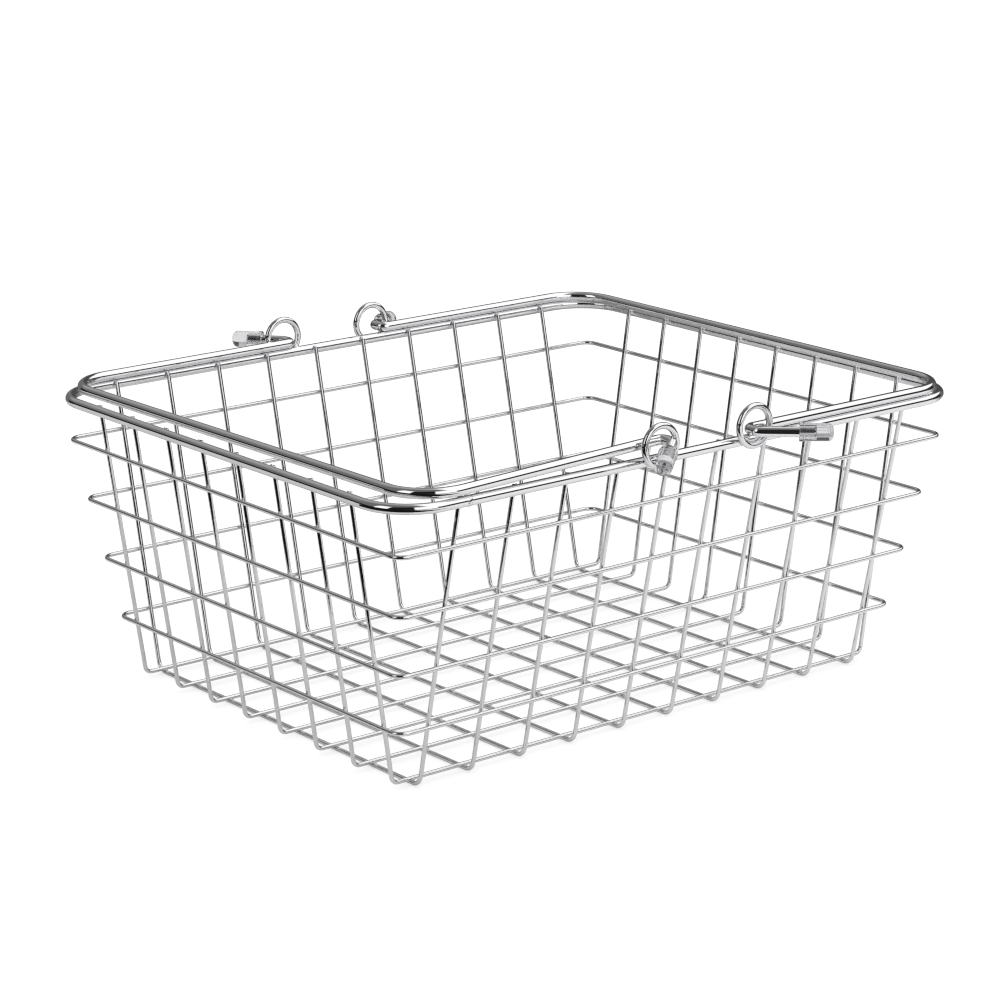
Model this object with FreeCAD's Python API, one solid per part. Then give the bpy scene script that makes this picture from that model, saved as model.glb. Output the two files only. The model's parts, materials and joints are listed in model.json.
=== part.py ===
import FreeCAD, Part
import math
import os

# Rectangular welded wire basket with two bail handles folded down on its rim.
# It stands on z = 0, centred on x = y = 0, and its long sides run along x.
# Left is -x, right is +x, front is -y and back is +y. Sizes are in millimetres.

V = FreeCAD.Vector

# ---------------------------------------------------------------- wires and rods
WIRE_D = 2.5            # floor grid, uprights and hoops
ROD_D = 6.0             # rim and handles
WELD_GAP = 0.02         # air between welded wires, so that their surfaces never overlap
WIRE_CHAMFER = 0.3      # on the cut ends of the uprights
ROD_CHAMFER = 0.6       # on the cut ends of the handles

# ---------------------------------------------------------------- floor grid
CROSS_COUNT = 10        # U wires that run front to back under the floor
CROSS_PITCH = 36.7
CROSS_BEND_R = 7.0      # bend radii are all measured on the centre line
CROSS_TILT = 0.03       # one end of each floor stretch is this much higher, front and back in turn
LONG_COUNT = 8          # U wires that run left to right on top of the cross wires
LONG_PITCH = 35.0
LONG_BEND_R = 4.5

# ---------------------------------------------------------------- hoops
HOOP_COUNT = 4
HOOP_BASE_Z = 37.5      # centre line of the lowest hoop: height, half length, half width
HOOP_HALF_X = 186.6
HOOP_HALF_Y = 139.2
HOOP_PITCH = 35.8
HOOP_CORNER_R = 8.0
SLOPE_X = 0.150         # outward lean of the two short sides, mm per mm of height
SLOPE_Y = 0.218         # outward lean of the two long sides

# ---------------------------------------------------------------- rim
RIM_Z = 171.3           # height of the rim's centre line
RIM_CORNER_R = 30.0
WIRE_ABOVE_RIM = 1.9    # the uprights end this far above the rim's centre line

# ---------------------------------------------------------------- eyelets
EYELET_WIRE_D = 3.8
EYELET_OD = 26.6
EYELET_RISE = 8.8       # eyelet centre above the rim's centre line
EYELET_X = {            # place of each eyelet along the rim
    "front_left": -32.7,
    "front_right": 37.4,
    "back_left": -36.9,
    "back_right": 31.5,
}

# ---------------------------------------------------------------- handles
HANDLE_RISE = ROD_D + 0.06      # a handle folded flat lies just clear of the rim
HANDLE_ARM_INSET = 0.7          # the arms lie this far inboard of the rim's centre line
HANDLE_CORNER_R = 28.0
HOOK_BEND_R = 4.0
HOOK_STRAIGHT = 2.9             # straight stretch through the eyelet
PIVOT = {                       # (x, height above the rim) where the rod crosses its eyelet
    "front_left": (-27.0, 10.7),
    "front_right": (36.9, HANDLE_RISE),
    "back_left": (-34.0, HANDLE_RISE),
    "back_right": (36.9, HANDLE_RISE),
}
GRIP_CORNER = {                 # (x inboard of the rim's short side, y shift, height above the rim)
    "front_left": (14.4, -1.5, 6.1),
    "front_right": (7.0, 0.0, HANDLE_RISE),
    "back_left": (7.8, -1.5, 6.2),
    "back_right": (7.0, 0.0, HANDLE_RISE),
}
TAIL = {                        # (length from hook corner to cap tip in mm,
                                #  angle out from the long side, droop, both in degrees)
    "front_left": (32.0, 38.0, 14.0),
    "front_right": (42.3, 42.0, 0.0),
    "back_left": (33.0, 50.0, 0.0),
    "back_right": (34.5, 36.0, 5.0),
}

# ---------------------------------------------------------------- end caps on the tails
CAP_OD = 10.2
CAP_L = 19.0
CAP_COLLAR_OD = 10.9
CAP_COLLAR_L = 2.6
CAP_COLLAR_EDGE = 0.35  # soft edge of the collar
CAP_DOME_R = 3.2        # rounding of the closed end
CAP_SOCKET = 9.5        # depth of the bore
CAP_CLEAR = 0.03        # radial air between rod and bore
CAP_END_GAP = 0.4       # air between the rod's end and the bottom of the bore

SIDES = (("front", -1), ("back", 1))    # name and sign of y
ENDS = (("left", -1), ("right", 1))     # name and sign of x

os.makedirs("parts", exist_ok=True)


# ---------------------------------------------------------------- swept wires
def line(start, end):
    return Part.LineSegment(start, end).toShape()


def arc(start, middle, end):
    return Part.Arc(start, middle, end).toShape()


def corner_arc(before, corner, after, radius):
    """Start, middle and end points of the arc that rounds a corner."""
    to_before = (before - corner).normalize()
    to_after = (after - corner).normalize()
    half_angle = math.acos(max(-1.0, min(1.0, to_before.dot(to_after)))) / 2.0
    reach = radius / math.tan(half_angle)
    bisector = (to_before + to_after).normalize()
    centre = corner + bisector * (radius / math.sin(half_angle))
    return corner + to_before * reach, centre - bisector * radius, corner + to_after * reach


def sweep_section(edges, start, direction, diameter):
    """Round section swept along the edges, as a solid with a positive volume."""
    section = Part.Wire([Part.makeCircle(diameter / 2.0, start, direction)])
    shape = Part.Wire(edges).makePipeShell([section], True, False)
    if shape.ShapeType != "Solid":
        shape = Part.Solid(Part.Shell(shape.Faces))
    if shape.Volume < 0:
        shape = Part.Solid(shape.reversed().Shells[0])
    return shape


def open_wire(points, radii, diameter, chamfer):
    """Bent wire with chamfered ends; radii has one entry for each inner point."""
    edges = []
    start = points[0]
    for i, radius in enumerate(radii, 1):
        bend = corner_arc(points[i - 1], points[i], points[i + 1], radius)
        edges += [line(start, bend[0]), arc(*bend)]
        start = bend[2]
    edges.append(line(start, points[-1]))
    direction = (points[1] - points[0]).normalize()
    shape = sweep_section(edges, points[0], direction, diameter)
    return chamfered_ends(shape, (points[0], points[-1]), diameter, chamfer)


def chamfered_ends(shape, end_points, diameter, chamfer):
    """Chamfer the circular edges that are centred on the end points."""
    picked = []
    for edge in shape.Edges:
        curve = edge.Curve
        if not isinstance(curve, Part.Circle) or abs(curve.Radius - diameter / 2.0) > 1e-6:
            continue
        if any((curve.Center - point).Length < 1e-4 for point in end_points):
            picked.append(edge)
    return shape.makeChamfer(chamfer, picked) if picked else shape


def rectangular_ring(half_x, half_y, z, corner_radius, diameter):
    """Closed horizontal ring with rounded corners."""
    points = [V(-half_x, -half_y, z), V(half_x, -half_y, z),
              V(half_x, half_y, z), V(-half_x, half_y, z)]
    bends = [corner_arc(points[i - 1], points[i], points[(i + 1) % 4], corner_radius)
             for i in range(4)]
    # start in the middle of a straight side so that the section is square to the path
    side_start, side_end = bends[3][2], bends[0][0]
    middle = (side_start + side_end) * 0.5
    edges = [line(middle, side_end)]
    for i in range(4):
        edges.append(arc(*bends[i]))
        if i < 3:
            edges.append(line(bends[i][2], bends[i + 1][0]))
    edges.append(line(side_start, middle))
    return sweep_section(edges, middle, (side_end - side_start).normalize(), diameter)


def save(name, shape):
    shape.exportStep("parts/%s.step" % name)


# ---------------------------------------------------------------- leaning sides
LEAN_X = math.cos(math.atan(SLOPE_X))
LEAN_Y = math.cos(math.atan(SLOPE_Y))


def hoop_x(z):
    return HOOP_HALF_X + SLOPE_X * (z - HOOP_BASE_Z)


def hoop_y(z):
    return HOOP_HALF_Y + SLOPE_Y * (z - HOOP_BASE_Z)


def upright_x(z):
    """Centre line of the long wires' uprights, just inside the hoops."""
    return hoop_x(z) - (WIRE_D + WELD_GAP) / LEAN_X


def upright_y(z):
    """Centre line of the cross wires' uprights, just inside the hoops."""
    return hoop_y(z) - (WIRE_D + WELD_GAP) / LEAN_Y


CROSS_Z = WIRE_D / 2.0                              # the cross wires stand on the ground
LONG_Z = CROSS_Z + CROSS_TILT + WIRE_D + WELD_GAP   # the long wires lie on the cross wires
TOP_Z = RIM_Z + WIRE_ABOVE_RIM

# the rim runs outside the uprights, and the eyelets outside the rim
RIM_TO_UPRIGHT = (ROD_D + WIRE_D) / 2.0 + WELD_GAP
RIM_X = upright_x(RIM_Z) + RIM_TO_UPRIGHT / LEAN_X
RIM_Y = upright_y(RIM_Z) + RIM_TO_UPRIGHT / LEAN_Y
EYELET_Y = RIM_Y + (ROD_D + EYELET_WIRE_D) / 2.0 + WELD_GAP
ARM_Y = RIM_Y - HANDLE_ARM_INSET


# ---------------------------------------------------------------- pieces
def cross_wire(index):
    x = (index - (CROSS_COUNT - 1) / 2.0) * CROSS_PITCH
    top_y, floor_y = upright_y(TOP_Z), upright_y(CROSS_Z)
    front_lift, back_lift = (0.0, CROSS_TILT) if index % 2 == 0 else (CROSS_TILT, 0.0)
    points = [V(x, -top_y, TOP_Z), V(x, -floor_y, CROSS_Z + front_lift),
              V(x, floor_y, CROSS_Z + back_lift), V(x, top_y, TOP_Z)]
    return open_wire(points, [CROSS_BEND_R] * 2, WIRE_D, WIRE_CHAMFER)


def long_wire(index):
    y = (index - (LONG_COUNT - 1) / 2.0) * LONG_PITCH
    top_x, floor_x = upright_x(TOP_Z), upright_x(LONG_Z)
    points = [V(-top_x, y, TOP_Z), V(-floor_x, y, LONG_Z),
              V(floor_x, y, LONG_Z), V(top_x, y, TOP_Z)]
    return open_wire(points, [LONG_BEND_R] * 2, WIRE_D, WIRE_CHAMFER)


def hoop(index):
    z = HOOP_BASE_Z + index * HOOP_PITCH
    return rectangular_ring(hoop_x(z), hoop_y(z), z, HOOP_CORNER_R, WIRE_D)


def eyelet(key, sign_y):
    centre = V(EYELET_X[key], sign_y * EYELET_Y, RIM_Z + EYELET_RISE)
    ring_radius = (EYELET_OD - EYELET_WIRE_D) / 2.0
    return Part.makeTorus(ring_radius, EYELET_WIRE_D / 2.0, centre, V(0, 1, 0))


def end_cap(tip, direction):
    """Hollow cap with a collar at its mouth and a rounded closed end at the tip."""
    body = CAP_OD / 2.0
    collar = CAP_COLLAR_OD / 2.0
    bore = ROD_D / 2.0 + CAP_CLEAR
    edge, dome = CAP_COLLAR_EDGE, CAP_DOME_R
    diagonal = math.sqrt(0.5)
    # half section as (radius, 0, height); height runs from the mouth to the tip
    points = [
        V(bore, 0, 0),
        V(collar - edge, 0, 0),
        V(collar, 0, edge),
        V(collar, 0, CAP_COLLAR_L - edge),
        V(body, 0, CAP_COLLAR_L),
        V(body, 0, CAP_L - dome),
        V(body - dome, 0, CAP_L),
        V(0, 0, CAP_L),
        V(0, 0, CAP_SOCKET),
        V(bore, 0, CAP_SOCKET),
    ]
    arc_middles = {     # middle point of each arc, by the index of its start point
        1: V(collar - edge + edge * diagonal, 0, edge - edge * diagonal),
        5: V(body - dome + dome * diagonal, 0, CAP_L - dome + dome * diagonal),
    }
    edges = []
    for i, start in enumerate(points):
        end = points[(i + 1) % len(points)]
        edges.append(arc(start, arc_middles[i], end) if i in arc_middles else line(start, end))
    cap = Part.Face(Part.Wire(edges)).revolve(V(0, 0, 0), V(0, 0, 1), 360)
    if cap.ShapeType != "Solid":
        cap = cap.Solids[0]
    turn = FreeCAD.Rotation(V(0, 0, 1), direction)
    cap.Placement = FreeCAD.Placement(tip - direction * CAP_L, turn)
    return cap


def tail_direction(key, sign_x, sign_y):
    spread, droop = (math.radians(angle) for angle in TAIL[key][1:])
    return V(sign_x * math.cos(spread) * math.cos(droop),
             sign_y * math.sin(spread) * math.cos(droop),
             -math.sin(droop))


def pivot_point(key, sign_y):
    x, rise = PIVOT[key]
    return V(x, sign_y * EYELET_Y, RIM_Z + rise)


def handle_half(key, sign_x, sign_y, axis):
    """Path points from the rod's end to the grip corner, then the cap's tip and direction."""
    direction = tail_direction(key, sign_x, sign_y)
    outward = axis * sign_y
    # the arm meets the hinge axis inboard of the eyelet
    crossing = pivot_point(key, sign_y) - outward * ((EYELET_Y - ARM_Y) / abs(axis.y))
    inboard, shift, rise = GRIP_CORNER[key]
    grip = V(sign_x * (RIM_X - inboard), sign_y * ARM_Y + shift, RIM_Z + rise)
    arm_turn = outward.getAngle(crossing - grip)
    tail_turn = outward.getAngle(direction)
    depth = (HOOK_BEND_R * math.tan(arm_turn / 2.0) + HOOK_STRAIGHT
             + HOOK_BEND_R * math.tan(tail_turn / 2.0))
    hook_corner = crossing + outward * depth
    tip = hook_corner + direction * TAIL[key][0]
    rod_end = tip - direction * (CAP_L - CAP_SOCKET + CAP_END_GAP)
    return [rod_end, hook_corner, crossing, grip], tip, direction


def save_handle(end, sign_x):
    """One bail handle and the caps on its two tails."""
    # the hinge axis runs through both eyelets, from front to back
    axis = (pivot_point("back_" + end, 1) - pivot_point("front_" + end, -1)).normalize()
    halves = {}
    for side, sign_y in SIDES:
        key = "%s_%s" % (side, end)
        halves[side], tip, direction = handle_half(key, sign_x, sign_y, axis)
        save("end_cap_" + key, end_cap(tip, direction))
    points = halves["front"] + halves["back"][::-1]
    radii = [HOOK_BEND_R] * 2 + [HANDLE_CORNER_R] * 2 + [HOOK_BEND_R] * 2
    save("%s_handle" % end, open_wire(points, radii, ROD_D, ROD_CHAMFER))


# ---------------------------------------------------------------- build
for i in range(CROSS_COUNT):
    save("cross_wire_%02d" % (i + 1), cross_wire(i))
for i in range(LONG_COUNT):
    save("long_wire_%02d" % (i + 1), long_wire(i))
for i in range(HOOP_COUNT):     # numbered from the floor up
    save("hoop_%d" % (i + 1), hoop(i))
save("rim", rectangular_ring(RIM_X, RIM_Y, RIM_Z, RIM_CORNER_R, ROD_D))
for side, sign_y in SIDES:
    for end, _ in ENDS:
        key = "%s_%s" % (side, end)
        save("eyelet_" + key, eyelet(key, sign_y))
for end, sign_x in ENDS:
    save_handle(end, sign_x)
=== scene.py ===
"""Chromed wire basket with a rod rim, handles, eyelets and clear end caps.

It stands on z = 0 with its length along X and its front towards -Y. The frame supplies the
wires and rods; this script adds their weld metal, the materials and a white studio.
Lengths are in metres; MM converts from millimetres.
"""

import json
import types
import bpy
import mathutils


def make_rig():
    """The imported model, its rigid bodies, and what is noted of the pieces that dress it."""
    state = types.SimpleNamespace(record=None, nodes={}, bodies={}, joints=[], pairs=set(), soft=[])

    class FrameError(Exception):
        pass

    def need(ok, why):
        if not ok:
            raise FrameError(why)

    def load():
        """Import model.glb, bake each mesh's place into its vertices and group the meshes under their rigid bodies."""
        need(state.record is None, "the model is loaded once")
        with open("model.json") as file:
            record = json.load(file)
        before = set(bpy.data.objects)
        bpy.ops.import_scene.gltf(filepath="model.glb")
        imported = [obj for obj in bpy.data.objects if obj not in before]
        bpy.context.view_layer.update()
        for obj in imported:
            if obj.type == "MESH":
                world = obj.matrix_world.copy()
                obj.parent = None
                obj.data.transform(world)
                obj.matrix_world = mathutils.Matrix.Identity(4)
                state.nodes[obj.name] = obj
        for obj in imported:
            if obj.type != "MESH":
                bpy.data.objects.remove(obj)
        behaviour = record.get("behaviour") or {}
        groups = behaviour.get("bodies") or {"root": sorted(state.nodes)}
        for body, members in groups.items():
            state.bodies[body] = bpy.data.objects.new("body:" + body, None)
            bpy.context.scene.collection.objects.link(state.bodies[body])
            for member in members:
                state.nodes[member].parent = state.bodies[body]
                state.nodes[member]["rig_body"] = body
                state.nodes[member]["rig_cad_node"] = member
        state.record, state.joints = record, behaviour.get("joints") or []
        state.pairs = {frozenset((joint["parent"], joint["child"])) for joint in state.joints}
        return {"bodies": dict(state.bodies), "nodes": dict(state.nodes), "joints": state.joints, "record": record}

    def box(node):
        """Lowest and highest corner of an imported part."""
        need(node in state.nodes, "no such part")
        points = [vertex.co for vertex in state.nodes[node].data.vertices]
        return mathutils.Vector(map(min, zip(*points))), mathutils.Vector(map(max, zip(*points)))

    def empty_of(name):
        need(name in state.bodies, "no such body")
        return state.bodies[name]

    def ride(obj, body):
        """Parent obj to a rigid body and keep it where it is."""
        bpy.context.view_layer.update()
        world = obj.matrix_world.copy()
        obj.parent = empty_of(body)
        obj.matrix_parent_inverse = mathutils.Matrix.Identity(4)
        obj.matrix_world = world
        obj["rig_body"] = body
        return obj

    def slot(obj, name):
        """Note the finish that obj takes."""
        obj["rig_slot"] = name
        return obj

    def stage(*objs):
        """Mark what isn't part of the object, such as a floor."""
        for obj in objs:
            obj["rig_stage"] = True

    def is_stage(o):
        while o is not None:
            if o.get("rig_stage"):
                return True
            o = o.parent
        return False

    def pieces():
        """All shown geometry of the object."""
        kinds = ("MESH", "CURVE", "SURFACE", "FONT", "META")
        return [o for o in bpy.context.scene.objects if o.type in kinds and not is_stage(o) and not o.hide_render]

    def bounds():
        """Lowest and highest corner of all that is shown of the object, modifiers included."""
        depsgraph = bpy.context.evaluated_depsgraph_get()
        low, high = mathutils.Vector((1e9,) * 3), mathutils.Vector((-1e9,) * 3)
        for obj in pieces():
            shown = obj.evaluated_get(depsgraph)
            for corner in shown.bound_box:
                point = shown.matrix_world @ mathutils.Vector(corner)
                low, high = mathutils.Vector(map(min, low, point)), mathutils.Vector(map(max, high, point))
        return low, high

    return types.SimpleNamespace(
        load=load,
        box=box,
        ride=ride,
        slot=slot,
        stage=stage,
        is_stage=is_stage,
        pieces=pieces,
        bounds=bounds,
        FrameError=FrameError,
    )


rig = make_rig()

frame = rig.load()
cad_lo, cad_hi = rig.bounds()

import json
import math
import random

import bpy
import bmesh
from mathutils import Matrix, Vector

MM = 0.001
X, Y, Z = Vector((1, 0, 0)), Vector((0, 1, 0)), Vector((0, 0, 1))
scene = bpy.context.scene
nodes = frame["nodes"]


# ------------------------------------------------------------------ sizes read from the frame
def centre(name):
    lo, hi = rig.box(name)
    return (lo + hi) / 2


def half(name):
    lo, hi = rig.box(name)
    return (hi - lo) / 2


def names_from(prefix):
    return sorted(name for name in nodes if name.startswith(prefix))


def ring_line(name, radius):
    """Half length, half width and height of a level ring's centre line."""
    return half(name).x - radius, half(name).y - radius, centre(name).z


hoop_names = names_from("hoop_")
cross_names = names_from("cross_wire_")
long_names = names_from("long_wire_")

WIRE_R = half(hoop_names[0]).z
ROD_R = half("rim").z
HOOPS = [ring_line(name, WIRE_R) for name in hoop_names]
RIM = ring_line("rim", ROD_R)
RIM_Y, RIM_Z = RIM[1:]
CROSS_X = [centre(name).x for name in cross_names]
LONG_Y = [centre(name).y for name in long_names]
FLOOR_CROSS_Z = WIRE_R
FLOOR_LONG_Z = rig.box(long_names[0])[0].z + WIRE_R

# the walls lean outwards; the uprights stand just inside the hoops
GAP = 0.02 * MM                     # between touching wires
FIRST_X, FIRST_Y, FIRST_Z = HOOPS[0]
LAST_X, LAST_Y, LAST_Z = HOOPS[-1]
SLOPE_X = (LAST_X - FIRST_X) / (LAST_Z - FIRST_Z)
SLOPE_Y = (LAST_Y - FIRST_Y) / (LAST_Z - FIRST_Z)
UPRIGHT_X = FIRST_X - (2 * WIRE_R + GAP) / math.cos(math.atan(SLOPE_X))
UPRIGHT_Y = FIRST_Y - (2 * WIRE_R + GAP) / math.cos(math.atan(SLOPE_Y))


# ------------------------------------------------------------------ node graphs
class Graph:
    """A node tree with short calls for the nodes used here."""

    def __init__(self, tree):
        self.tree = tree
        tree.nodes.clear()

    def new(self, kind, inputs=None, **props):
        """Add a node; inputs maps a socket's name or index to a value or to a socket."""
        node = self.tree.nodes.new(kind)
        for key, value in props.items():
            setattr(node, key, value)
        for key, value in (inputs or {}).items():
            if isinstance(value, bpy.types.NodeSocket):
                self.tree.links.new(value, node.inputs[key])
            else:
                node.inputs[key].default_value = value
        return node

    def math(self, operation, *values, clamp=False):
        inputs = dict(enumerate(values))
        return self.new("ShaderNodeMath", inputs, operation=operation, use_clamp=clamp).outputs[0]

    def times(self, first, *others):
        for other in others:
            first = self.math("MULTIPLY", first, other)
        return first

    def dot(self, a, b):
        node = self.new("ShaderNodeVectorMath", {0: a, 1: b}, operation="DOT_PRODUCT")
        return node.outputs["Value"]

    def ramp(self, value, off, on, low=0.0, high=1.0):
        """Ease from low, where value is at off, to high, where it is at on."""
        inputs = {"Value": value, "From Min": off, "From Max": on, "To Min": low, "To Max": high}
        node = self.new("ShaderNodeMapRange", inputs, interpolation_type="SMOOTHSTEP", clamp=True)
        return node.outputs["Result"]

    def mix_colour(self, factor, a, b):
        return self.new("ShaderNodeMix", {0: factor, 6: a, 7: b}, data_type="RGBA").outputs[2]

    def mix_value(self, factor, a, b):
        return self.new("ShaderNodeMix", {0: factor, 2: a, 3: b}, data_type="FLOAT").outputs[0]

    def mix_shader(self, factor, a, b):
        return self.new("ShaderNodeMixShader", {0: factor, 1: a, 2: b}).outputs[0]

    def grey(self, value):
        return self.new("ShaderNodeCombineColor", {0: value, 1: value, 2: value}).outputs[0]

    def noise(self, vector, scale, detail=2.0, rough=0.5):
        inputs = {"Vector": vector, "Scale": scale, "Detail": detail, "Roughness": rough}
        return self.new("ShaderNodeTexNoise", inputs, noise_dimensions="3D").outputs["Fac"]

    def bump(self, strength, height):
        inputs = {"Strength": strength, "Distance": 0.2 * MM, "Height": height}
        return self.new("ShaderNodeBump", inputs).outputs["Normal"]

    def output(self, shader, kind="ShaderNodeOutputMaterial"):
        self.new(kind, {"Surface": shader})


def new_material(name):
    material = bpy.data.materials.new(name)
    material.use_nodes = True
    return material, Graph(material.node_tree)


# ------------------------------------------------------------------ materials
def chrome(name, tint, rough, spread, bump, bump_scale):
    """Mirror plate whose tint, roughness and surface waver a little; spread varies the roughness."""
    cloud_shade = (0.96, 0.96, 0.965)    # tint factor in the darker clouds
    fine_rough, fine_height = 0.5, 0.12  # share of the fine grain in the roughness and the bump
    material, graph = new_material(name)
    place = graph.new("ShaderNodeTexCoord").outputs["Object"]
    cloud = graph.noise(place, scale=55.0, detail=3.0, rough=0.55)
    fine = graph.noise(place, scale=900.0, rough=0.6)
    darker = tuple(value * shade for value, shade in zip(tint, cloud_shade))
    colour = graph.mix_colour(graph.ramp(cloud, off=0.3, on=0.7), (*darker, 1), (*tint, 1))
    roughness = graph.math("MULTIPLY_ADD", cloud, spread, rough - spread / 2)
    roughness = graph.math("MULTIPLY_ADD", fine, spread * fine_rough, roughness, clamp=True)
    height = graph.math("MULTIPLY_ADD", graph.noise(place, bump_scale), 1.0,
                        graph.math("MULTIPLY", fine, fine_height))
    graph.output(graph.new("ShaderNodeBsdfPrincipled", {
        "Base Color": colour,
        "Metallic": 1.0,
        "Roughness": roughness,
        "Normal": graph.bump(bump, height),
    }).outputs[0])
    return material


def vinyl(name):
    """Clear soft vinyl with a faint grey body, slight cloudiness and a glossy skin."""
    grain = 260.0
    dark_body, light_body = (0.56, 0.56, 0.57, 1), (0.70, 0.70, 0.71, 1)
    material, graph = new_material(name)
    place = graph.new("ShaderNodeTexCoord").outputs["Object"]
    cloud = graph.noise(place, scale=grain, detail=3.0, rough=0.6)
    graph.output(graph.new("ShaderNodeBsdfPrincipled", {
        "Base Color": graph.mix_colour(cloud, dark_body, light_body),
        "Roughness": graph.ramp(cloud, off=0.2, on=0.8, low=0.04, high=0.10),
        "IOR": 1.40,
        "Transmission Weight": 0.96,
        "Normal": graph.bump(0.10, graph.noise(place, grain)),
    }).outputs[0])
    return material


rod_chrome = chrome("chrome_rod", tint=(0.94, 0.94, 0.95), rough=0.030, spread=0.03,
                    bump=0.05, bump_scale=120.0)
wire_chrome = chrome("chrome_wire", tint=(0.87, 0.87, 0.88), rough=0.030, spread=0.03,
                     bump=0.06, bump_scale=220.0)
weld_chrome = chrome("chrome_weld", tint=(0.82, 0.82, 0.83), rough=0.07, spread=0.06,
                     bump=0.25, bump_scale=900.0)
clear_vinyl = vinyl("clear_vinyl")


def paint(obj, material):
    if not obj.material_slots:
        obj.data.materials.append(material)
    for slot in obj.material_slots:
        slot.material = material


for name, obj in nodes.items():
    if name.startswith("end_cap"):
        paint(obj, clear_vinyl)
    elif name == "rim" or name.endswith("_handle"):
        paint(obj, rod_chrome)
    else:
        paint(obj, wire_chrome)


# ------------------------------------------------------------------ mesh helpers
def mesh_object(name, bm):
    mesh = bpy.data.meshes.new(name)
    bm.to_mesh(mesh)
    bm.free()
    obj = bpy.data.objects.new(name, mesh)
    scene.collection.objects.link(obj)
    return obj


def weld_piece(name, bm, slot="chromed_wire"):
    bmesh.ops.recalc_face_normals(bm, faces=bm.faces)
    obj = mesh_object(name, bm)
    for face in obj.data.polygons:
        face.use_smooth = True
    obj.data.materials.append(weld_chrome)
    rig.ride(obj, "basket")
    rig.slot(obj, slot)


def skin(bm, rings):
    """Join successive rings of vertices and close both ends."""
    for lower, upper in zip(rings, rings[1:]):
        for k in range(len(lower)):
            j = (k + 1) % len(lower)
            bm.faces.new((lower[k], lower[j], upper[j], upper[k]))
    bm.faces.new(list(reversed(rings[0])))
    bm.faces.new(rings[-1])


# ------------------------------------------------------------------ welds between crossing wires
SKIRT_TURNS = 22
SKIRT_BURY = 0.12 * MM              # how far the skirt's ends sink into each wire
SKIRT_STEP = 0.03 * MM              # step of the search for the skirt's radius
SKIRT_REACH = 1.45                  # largest radius, in radii of the thicker wire
# share of the way from the first wire's skin to the second's, radius factor
SKIRT = [(0.0, 1.0), (0.22, 0.86), (0.5, 0.79), (0.78, 0.86), (1.0, 1.0)]
LOBE_RANGES = [(0.03, 0.09), (0.03, 0.08), (0.02, 0.05)]  # sizes of the 2, 3 and 4-lobed wobble

rng = random.Random(7)


def skin_drop(radius, across):
    """How far a round wire's skin falls away at a distance across from its crest."""
    return radius if across >= radius else radius - math.sqrt(radius * radius - across * across)


def nugget(bm, wire_a, wire_b, size_range):
    """Concave skirt joining the skins of two crossing wires.

    A wire is a point on its centre line, its direction and its radius. size_range, in mm,
    bounds the skirt's height.
    """
    size = rng.uniform(*size_range) * MM
    point_a, along_a, radius_a = wire_a
    point_b, along_b, radius_b = wire_b
    along_a, along_b = along_a.normalized(), along_b.normalized()
    normal = along_a.cross(along_b).normalized()
    offset = point_b - point_a
    if normal.dot(offset) < 0:
        normal = -normal
    # the point of the first centre line closest to the second
    basis = Matrix((along_a, -along_b, normal)).transposed()
    closest = point_a + along_a * (basis.inverted() @ offset).x
    middle = closest + normal * (radius_a + GAP / 2)
    beside = normal.cross(along_a).normalized()
    phases = [rng.uniform(0, 2 * math.pi) for _ in range(3)]
    lobes = [rng.uniform(*limits) for limits in LOBE_RANGES]
    limit = SKIRT_REACH * max(radius_a, radius_b)

    rings = [[] for _ in range(len(SKIRT) + 2)]
    for k in range(SKIRT_TURNS):
        angle = 2 * math.pi * k / SKIRT_TURNS
        out = along_a * math.cos(angle) + beside * math.sin(angle)

        def drops(reach):
            return (skin_drop(radius_a, reach * out.cross(along_a).length),
                    skin_drop(radius_b, reach * out.cross(along_b).length))

        reach = 0.0
        while reach < limit and sum(drops(reach)) < size:
            reach += SKIRT_STEP
        reach *= 1 + sum(lobe * math.sin((i + 2) * angle + phase)
                         for i, (lobe, phase) in enumerate(zip(lobes, phases)))
        drop_a, drop_b = drops(reach)
        stations = [(-drop_a - SKIRT_BURY, 1.0)]
        stations += [(-drop_a + (drop_a + drop_b) * share, squeeze) for share, squeeze in SKIRT]
        stations += [(drop_b + SKIRT_BURY, 1.0)]
        for ring, (height, squeeze) in zip(rings, stations):
            ring.append(bm.verts.new(middle + out * reach * squeeze + normal * height))
    skin(bm, rings)


def floor_welds():
    bm = bmesh.new()
    for x in CROSS_X:
        for y in LONG_Y:
            nugget(bm, (Vector((x, y, FLOOR_CROSS_Z)), Y, WIRE_R),
                   (Vector((x, y, FLOOR_LONG_Z)), X, WIRE_R), (0.8, 1.1))
    weld_piece("floor_welds", bm)


def ring_welds(name, ring, radius, size_range):
    """Welds of every upright to one level ring: front and back, then both ends."""
    ring_x, ring_y, ring_z = ring
    bm = bmesh.new()
    for x in CROSS_X:
        for sign in (-1, 1):
            upright = (Vector((x, sign * UPRIGHT_Y, FIRST_Z)),
                       Vector((0, sign * SLOPE_Y, 1)), WIRE_R)
            nugget(bm, (Vector((x, sign * ring_y, ring_z)), X, radius), upright, size_range)
    for y in LONG_Y:
        for sign in (-1, 1):
            upright = (Vector((sign * UPRIGHT_X, y, FIRST_Z)),
                       Vector((sign * SLOPE_X, 0, 1)), WIRE_R)
            nugget(bm, (Vector((sign * ring_x, y, ring_z)), Y, radius), upright, size_range)
    weld_piece(name, bm)


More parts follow.
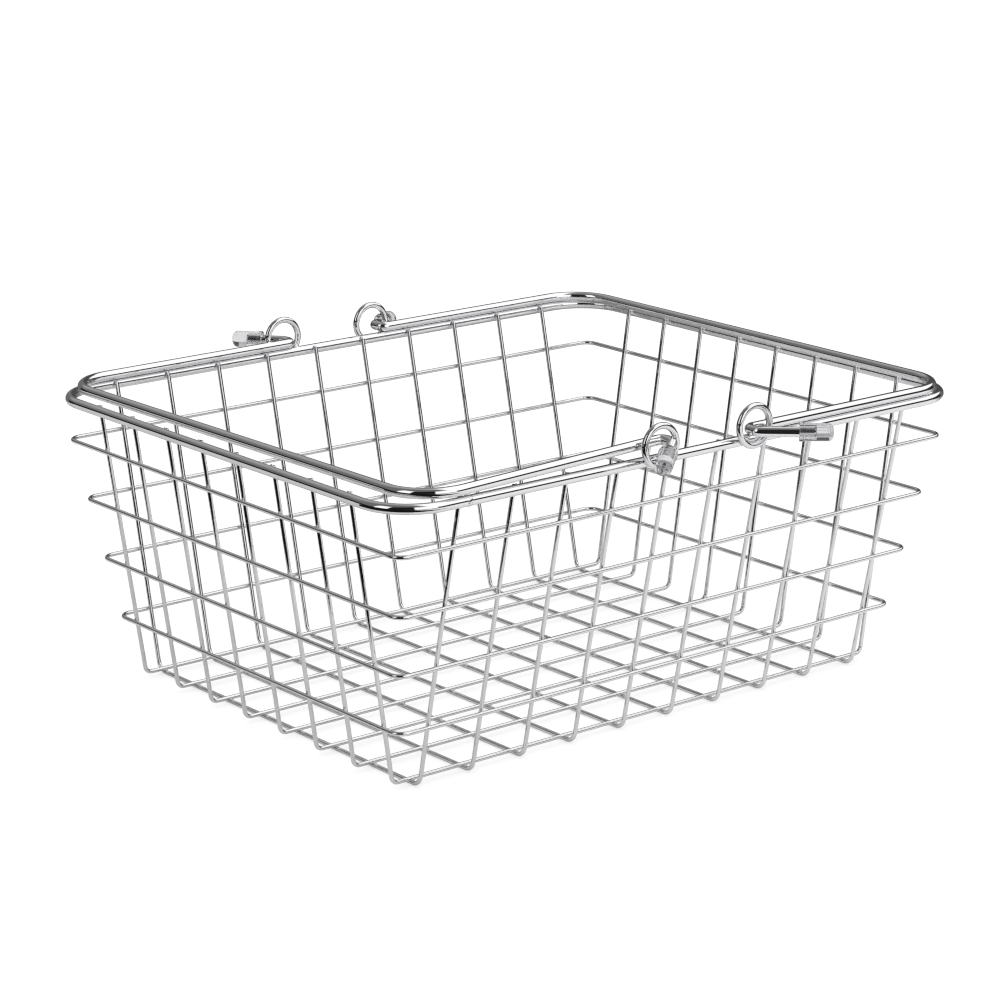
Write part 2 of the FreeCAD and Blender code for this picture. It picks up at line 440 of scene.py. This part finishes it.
def eyelet_welds():
    """Each eyelet, a ring in an XZ plane, meets the rim at two points."""
    bm = bmesh.new()
    for name in names_from("eyelet_"):
        middle, extent = centre(name), half(name)
        rise = middle.z - RIM_Z
        out = math.sqrt((extent.x - extent.y) ** 2 - rise ** 2)
        rim_y = -RIM_Y if middle.y < 0 else RIM_Y
        for sign in (-1, 1):
            place = Vector((middle.x + sign * out, middle.y, RIM_Z))
            tangent = Vector((-rise, 0, -sign * out))
            nugget(bm, (Vector((place.x, rim_y, RIM_Z)), X, ROD_R),
                   (place, tangent, extent.y), (1.2, 1.5))
    weld_piece("eyelet_welds", bm)


floor_welds()
for name, hoop in zip(hoop_names, HOOPS):
    ring_welds(name + "_welds", hoop, WIRE_R, (0.75, 1.05))
ring_welds("rim_welds", RIM, ROD_R, (0.8, 1.05))
eyelet_welds()

# ------------------------------------------------------------------ butt welds
BEAD_TURNS = 28
BEAD_PROUD = 0.22 * MM
RIM_BEAD_X, RIM_BEAD_WIDTH = -163 * MM, 3.2 * MM
HOOP_BEAD_X, HOOP_BEAD_PITCH, HOOP_BEAD_WIDTH = -155 * MM, 9 * MM, 2.0 * MM
# place along the bead in widths, height in parts of BEAD_PROUD
BEAD = [(-0.5, -0.15), (-0.42, 0.12), (-0.22, 0.8), (0.0, 1.0),
        (0.22, 0.8), (0.42, 0.12), (0.5, -0.15)]


def bead(bm, middle, radius, width):
    """Low uneven ring of metal round a rod or wire that runs along X."""
    side_a = X.orthogonal().normalized()
    side_b = X.cross(side_a)
    phases = [rng.uniform(0, 6.28) for _ in range(3)]
    rings = []
    for station, height in BEAD:
        ring = []
        for k in range(BEAD_TURNS):
            angle = 2 * math.pi * k / BEAD_TURNS
            shift = 0.12 * width * math.sin(3 * angle + phases[2])
            rise = BEAD_PROUD * height
            if height > 0:
                rise *= (1 + 0.21 * math.sin(2 * angle + phases[0])
                         + 0.2 * math.sin(5 * angle + phases[1]))
            out = side_a * math.cos(angle) + side_b * math.sin(angle)
            ring.append(bm.verts.new(middle + X * (station * width + shift)
                                     + out * (radius + rise)))
        rings.append(ring)
    skin(bm, rings)


# one on the front of the rim, and one on the back of each hoop
bm = bmesh.new()
bead(bm, Vector((RIM_BEAD_X, -RIM_Y, RIM_Z)), ROD_R, RIM_BEAD_WIDTH)
for k, (_, hoop_y, hoop_z) in enumerate(HOOPS):
    bead(bm, Vector((HOOP_BEAD_X + HOOP_BEAD_PITCH * k, hoop_y, hoop_z)), WIRE_R, HOOP_BEAD_WIDTH)
weld_piece("butt_welds", bm, slot="chromed_rod")

# ------------------------------------------------------------------ camera line
CAMERA_PLACE = Vector((-1181.8, -1461.2, 631.5)) * MM
AZIMUTH, ELEVATION, ROLL = (math.radians(angle) for angle in (-38.866, 15.624, -0.212))
BACK = Vector((math.sin(AZIMUTH) * math.cos(ELEVATION),
               -math.cos(AZIMUTH) * math.cos(ELEVATION), math.sin(ELEVATION)))
TO_CAMERA = Vector((BACK.x, BACK.y, 0)).normalized()        # level, from basket to camera
TO_RIGHT = Vector((-TO_CAMERA.y, TO_CAMERA.x, 0))           # level, to the camera's right

# ------------------------------------------------------------------ table
TABLE_HALF = 14.0
PAINTED_TABLE_LIGHT_LEFT, PAINTED_TABLE_LIGHT_RIGHT = 0.44, 0.64    # painted light and shade of the table as the chrome sees it: darker on the left, lighter on the right towards the softbox
WHITE_LIFT = 0.6                        # share of plain white that keeps the contact shade faint


def table_material():
    """White table; in the chrome it shows painted shade, greyer overall, darker to the left and behind the basket, and
    it has edges.
    """
    material, graph = new_material("studio_floor")
    ramp = graph.ramp
    place = graph.new("ShaderNodeNewGeometry").outputs["Position"]
    ray = graph.new("ShaderNodeLightPath").outputs
    toward = graph.dot(place, TO_CAMERA)
    aside = graph.dot(place, TO_RIGHT)
    reach = graph.new("ShaderNodeVectorMath", {0: place}, operation="LENGTH").outputs["Value"]

    # beyond its edges the reflected table is clear: near the basket on the camera's side,
    # further off behind the basket and all round
    near_edge = graph.times(ramp(toward, off=0.10, on=0.16), graph.times(
        ramp(reach, off=0.37, on=0.41), ramp(aside, off=0.30, on=0.22)))
    past = graph.math("MAXIMUM", near_edge, ramp(toward, off=-0.50, on=-0.56))
    past = graph.math("MAXIMUM", past, ramp(reach, off=2.0, on=2.3))
    mirror = graph.times(ray["Is Glossy Ray"],
                         graph.math("SUBTRACT", 1.0, ray["Is Transmission Ray"]))
    past = graph.times(past, mirror)

    speck = graph.noise(place, scale=3.0)
    direct = ramp(speck, off=0.3, on=0.7, low=0.925, high=0.935)
    # painted shade: the table's reflection darkens behind the basket, except far to the left
    shade = graph.math("MAXIMUM", ramp(toward, off=-0.36, on=-0.14, low=0.35),
                       ramp(aside, off=-0.40, on=-0.50))
    # painted light and shade of the table's reflection: darker on the left, lighter to the right towards the softbox
    painted_mirror_shading = graph.times(ramp(aside, off=-0.3, on=0.3, low=PAINTED_TABLE_LIGHT_LEFT, high=PAINTED_TABLE_LIGHT_RIGHT), shade)
    colour = graph.grey(graph.mix_value(mirror, direct, painted_mirror_shading))
    diffuse = graph.new("ShaderNodeBsdfDiffuse", {"Color": colour}).outputs[0]
    clear = graph.new("ShaderNodeBsdfTransparent").outputs[0]
    white = graph.new("ShaderNodeEmission", {"Color": (1, 1, 1, 1), "Strength": 1.0}).outputs[0]
    graph.output(graph.mix_shader(graph.times(ray["Is Camera Ray"], WHITE_LIFT),
                                  graph.mix_shader(past, diffuse, clear), white))
    return material


bm = bmesh.new()
bmesh.ops.create_grid(bm, x_segments=1, y_segments=1, size=TABLE_HALF)
table = mesh_object("studio_floor", bm)
table.location = (0, 0, cad_lo.z)
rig.stage(table)
table.data.materials.append(table_material())

# ------------------------------------------------------------------ room
AMBIENT = (1.3, 1.3, 1.3, 1.0)          # what every ray but a glossy one sees
# luminances of the room as the chrome sees it
WALL, BACKDROP, BACKDROP_FOOT, BACKDROP_RIGHT = 0.145, 0.36, 0.17, 0.07
CAMERA_WALL, LOW_WALL, LOW_RIGHT_WALL, ROOM_FLOOR = 0.012, 0.012, 0.030, 0.008
LIT, WHITE = 1.1, 1.0                   # softbox and windows; backdrop seen through vinyl
SOFTBOX_DIRECTION = Vector((0.80, -0.30, 0.52)).normalized()
RIGHT_WINDOW, LEFT_WINDOW = 33.0, -53.0  # bearings in degrees, to the right of the camera


def build_room():
    """White all round for soft light; the chrome sees a dim studio with lit panels."""
    world = bpy.data.worlds.new("studio")
    scene.world = world
    world.use_nodes = True
    graph = Graph(world.node_tree)
    ramp, times = graph.ramp, graph.times
    ray = graph.new("ShaderNodeLightPath").outputs
    direction = graph.new("ShaderNodeTexCoord").outputs["Generated"]
    z = graph.dot(direction, (0.0, 0.0, 1.0))
    toward = graph.dot(direction, TO_CAMERA)
    aside = graph.dot(direction, TO_RIGHT)
    level = graph.math("SUBTRACT", 1.0, graph.math("MULTIPLY", z, z))
    level = graph.math("SQRT", graph.math("MAXIMUM", level, 0.0001))

    def bearing(degrees):
        """Cosine of the level angle from a bearing counted rightwards from the camera."""
        angle = math.radians(degrees)
        axis = TO_CAMERA * math.cos(angle) + TO_RIGHT * math.sin(angle)
        return graph.math("DIVIDE", graph.dot(direction, axis), level)

    def cover(base, luminance, *masks):
        return graph.mix_value(times(*masks), base, luminance)

    away = bearing(180.0)
    off_backdrop = ramp(toward, off=-0.75, on=-0.55)
    room = cover(WALL, BACKDROP, ramp(away, off=0.25, on=0.95), ramp(z, off=0.28, on=0.50))
    room = cover(room, CAMERA_WALL, ramp(toward, off=0.50, on=0.66))
    room = cover(room, LOW_WALL, ramp(z, off=0.25, on=0.16), off_backdrop)
    room = cover(room, LOW_RIGHT_WALL, ramp(aside, off=-0.2, on=0.2),
                 ramp(z, off=0.34, on=0.27), off_backdrop)
    room = cover(room, BACKDROP_FOOT, ramp(away, off=0.90, on=0.98), ramp(z, off=0.38, on=0.28))
    room = cover(room, WHITE, ray["Is Transmission Ray"],
                 ramp(away, off=0.30, on=0.85), ramp(z, off=-0.9, on=-0.8))
    room = cover(room, LIT, ramp(graph.dot(direction, SOFTBOX_DIRECTION), off=0.55, on=0.70),
                 ramp(z, off=0.28, on=0.35))
    room = cover(room, BACKDROP_RIGHT, ramp(aside, off=-0.12, on=0.0),
                 ramp(away, off=0.80, on=0.92), ramp(z, off=0.70, on=0.60))
    top = ramp(z, off=0.80, on=0.70)
    right_window = times(ramp(bearing(RIGHT_WINDOW), off=0.915, on=0.945),
                         ramp(z, off=0.02, on=0.06), top)
    left_window = times(ramp(bearing(LEFT_WINDOW), off=0.960, on=0.980),
                        ramp(z, off=0.14, on=0.19), top)
    room = cover(room, LIT, graph.math("MAXIMUM", right_window, left_window))
    room = cover(room, ROOM_FLOOR, ramp(z, off=-0.05, on=-0.10),
                 ramp(toward, off=-0.55, on=-0.35))
    sky = graph.mix_colour(ray["Is Glossy Ray"], AMBIENT, graph.grey(room))
    background = graph.new("ShaderNodeBackground", {"Color": sky, "Strength": 1.0})
    graph.output(background.outputs[0], kind="ShaderNodeOutputWorld")
    try:
        world.cycles.sampling_method = "NONE"
    except Exception:               # Cycles may be missing
        pass


def add_lamp():
    """Large soft lamp overhead, for a gentle contact shade on the table."""
    target = Vector((0, 0, 0.08))
    light = bpy.data.lights.new("overhead_softbox", "AREA")
    light.shape = "RECTANGLE"
    light.size, light.size_y = 1.6, 1.2
    light.energy = 1.2
    lamp = bpy.data.objects.new("overhead_softbox", light)
    lamp.location = (0.35, -0.45, 1.9)
    lamp.rotation_euler = (target - lamp.location).to_track_quat("-Z", "Y").to_euler()
    lamp.visible_glossy = False
    scene.collection.objects.link(lamp)


def add_camera():
    level_right = (-BACK).cross(Z).normalized()
    level_up = level_right.cross(-BACK)
    right = level_right * math.cos(ROLL) + level_up * math.sin(ROLL)
    up = -level_right * math.sin(ROLL) + level_up * math.cos(ROLL)
    data = bpy.data.cameras.new("camera")
    data.sensor_width = 36.0
    data.lens = 117.5292
    data.clip_start, data.clip_end = 0.05, 60.0
    camera = bpy.data.objects.new("camera", data)
    scene.collection.objects.link(camera)
    turn = Matrix((right, up, BACK)).transposed()
    camera.matrix_world = Matrix.Translation(CAMERA_PLACE) @ turn.to_4x4()
    scene.camera = camera


build_room()
add_lamp()
try:
    scene.cycles.filter_width = 1.25    # crisp edges for the thin wires
except Exception:                       # Cycles may be missing
    pass
scene.view_settings.view_transform = "Standard"
scene.view_settings.look = "None"
scene.view_settings.exposure = 0.0
scene.view_settings.gamma = 1.0
add_camera()

vis_lo, vis_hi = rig.bounds()
try:
    with open("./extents.json", "w") as f:
        json.dump({"cad": [list(cad_lo), list(cad_hi)], "visual": [list(vis_lo), list(vis_hi)]}, f)
except OSError:                         # the folder may be missing or read-only
    pass
